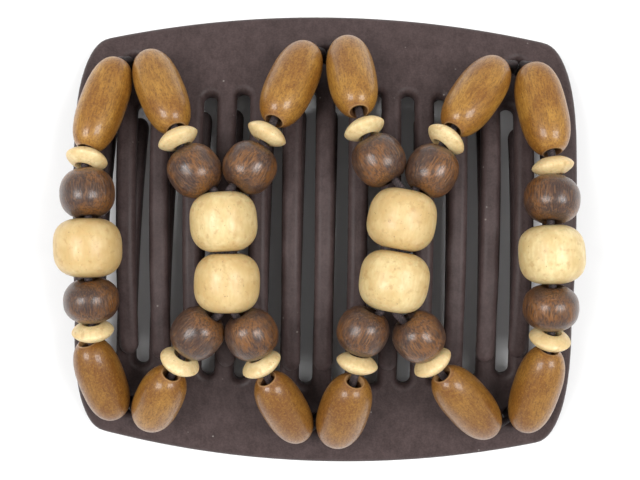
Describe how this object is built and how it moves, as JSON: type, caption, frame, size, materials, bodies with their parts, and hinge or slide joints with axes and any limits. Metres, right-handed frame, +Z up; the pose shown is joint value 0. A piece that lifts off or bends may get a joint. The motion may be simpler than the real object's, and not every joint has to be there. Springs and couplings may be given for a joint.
{
  "type": "beaded stretch double hair comb",
  "caption": "Stretch double hair comb: arched plastic combs nested one over the other and joined by elastic loops strung with wooden and bone beads.",
  "frame": {"origin": "on the floor, under the middle of the closed pair's box", "axes": "+X across the teeth, +Y to the upper comb's spine, +Z up, out of the arched side that carries the beads"},
  "size_m": [0.0974, 0.0886, 0.0281],
  "materials": {
    "brown_plastic": "satin, moulded, with fine streaks",
    "amber_wood": "honey-amber wood under clear lacquer",
    "dark_wood": "dark streaked wood, waxed satin",
    "pale_bone": "polished cream bone with tan flecks",
    "elastic_cord": "braided sleeve over rubber, matt"
  },
  "bodies": {
    "root": {"comb_upper": "brown_plastic", "comb_lower": "brown_plastic", "cream_left": "pale_bone", "cream_left_pair_upper": "pale_bone", "cream_left_pair_lower": "pale_bone", "cream_right_pair_upper": "pale_bone", "cream_right_pair_lower": "pale_bone", "cream_right": "pale_bone", "oval_1_upper": "amber_wood", "oval_1_lower": "amber_wood", "oval_2_upper": "amber_wood", "oval_2_lower": "amber_wood", "oval_3_upper": "amber_wood", "oval_3_lower": "amber_wood", "oval_4_upper": "amber_wood", "oval_4_lower": "amber_wood", "oval_5_upper": "amber_wood", "oval_5_lower": "amber_wood", "oval_6_upper": "amber_wood", "oval_6_lower": "amber_wood", "disc_1_upper": "pale_bone", "disc_1_lower": "pale_bone", "disc_2_upper": "pale_bone", "disc_2_lower": "pale_bone", "disc_3_upper": "pale_bone", "disc_3_lower": "pale_bone", "disc_4_upper": "pale_bone", "disc_4_lower": "pale_bone", "disc_5_upper": "pale_bone", "disc_5_lower": "pale_bone", "disc_6_upper": "pale_bone", "disc_6_lower": "pale_bone", "dark_1_upper": "dark_wood", "dark_1_lower": "dark_wood", "dark_2_upper": "dark_wood", "dark_2_lower": "dark_wood", "dark_3_upper": "dark_wood", "dark_3_lower": "dark_wood", "dark_4_upper": "dark_wood", "dark_4_lower": "dark_wood", "dark_5_upper": "dark_wood", "dark_5_lower": "dark_wood", "dark_6_upper": "dark_wood", "dark_6_lower": "dark_wood", "elastic_left": "elastic_cord", "elastic_middle": "elastic_cord", "elastic_right": "elastic_cord"}
  },
  "joints": []
}
